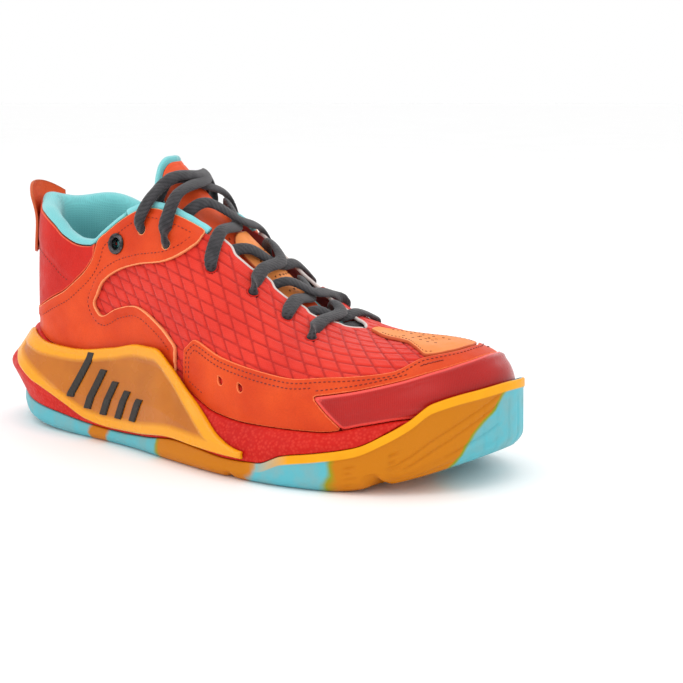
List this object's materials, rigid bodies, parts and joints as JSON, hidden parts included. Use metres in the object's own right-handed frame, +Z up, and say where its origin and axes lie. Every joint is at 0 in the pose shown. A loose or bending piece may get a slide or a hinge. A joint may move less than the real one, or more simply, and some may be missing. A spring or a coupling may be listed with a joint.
{
  "type": "court shoe",
  "caption": "Low-cut indoor court shoe for the right foot, red mesh upper with orange overlays, laced, with a marbled rubber sole that flexes at the ball.",
  "frame": {"origin": "centre of the footprint box at ground level", "axes": "+X to the toe, +Y to the medial side, +Z up"},
  "size_m": [0.303, 0.1224, 0.1488],
  "materials": {
    "rubber_marbled": "satin",
    "foam_red": "matte",
    "tpu_amber": "gloss",
    "graphic_black": "matte",
    "mesh_red": "matte",
    "leather_orange": "satin",
    "leather_pale": "satin",
    "leather_red": "satin",
    "rand_gloss": "gloss",
    "lining_cyan": "matte",
    "board_white": "matte",
    "stiffener": "matte",
    "binding_cyan": "matte",
    "webbing_red": "matte",
    "lace_grey": "matte",
    "metal_black": "satin"
  },
  "bodies": {
    "rearfoot": {"outsole_rear": "rubber_marbled", "midsole_rear": "foam_red", "strobel_board_rear": "board_white", "sockliner_rear": "lining_cyan", "clip_lateral": "tpu_amber", "clip_medial": "tpu_amber", "mesh_lateral": "mesh_red", "mesh_medial": "mesh_red", "vamp_flex": "mesh_red", "heel_base": "leather_red", "heel_counter": "stiffener", "collar_lining": "lining_cyan", "collar_binding": "binding_cyan", "heel_cover": "leather_red", "heel_tab": "leather_orange", "quarter_lateral": "leather_orange", "quarter_medial": "leather_orange", "mudguard_lateral": "leather_orange", "mudguard_medial": "leather_orange", "mudguard_flex_lateral": "leather_orange", "mudguard_flex_medial": "leather_orange", "toe_overlay_flex": "leather_pale", "tongue_skin": "leather_orange", "tongue_padding": "lining_cyan", "tongue_binding": "binding_cyan", "lace_keeper": "leather_pale", "eyelet_lateral": "metal_black", "eyelet_medial": "metal_black", "eyestay_tape_lateral": "binding_cyan", "eyestay_tape_medial": "binding_cyan", "lace_loop_1": "webbing_red", "lace_loop_2": "webbing_red", "lace": "lace_grey", "clip_bar_1": "graphic_black", "clip_bar_2": "graphic_black", "clip_bar_3": "graphic_black", "clip_bar_4": "graphic_black", "clip_bar_5": "graphic_black"},
    "forefoot": {"outsole_fore": "rubber_marbled", "midsole_fore": "foam_red", "strobel_board_fore": "board_white", "sockliner_fore": "lining_cyan", "mesh_toe": "mesh_red", "mudguard_toe": "leather_orange", "toe_rand": "rand_gloss", "toe_overlay": "leather_pale"}
  },
  "joints": [
    {"name": "toe_flex", "type": "hinge", "parent": "rearfoot", "child": "forefoot", "pos_m": [0.08035, 0.00278, 0.029], "axis": [-0.1961, -0.9806, 0], "range_deg": [0, 30], "stiffness_Nm_per_rad": 12, "deforming": ["vamp_flex", "mudguard_flex_lateral", "mudguard_flex_medial", "toe_overlay_flex"]}
  ]
}
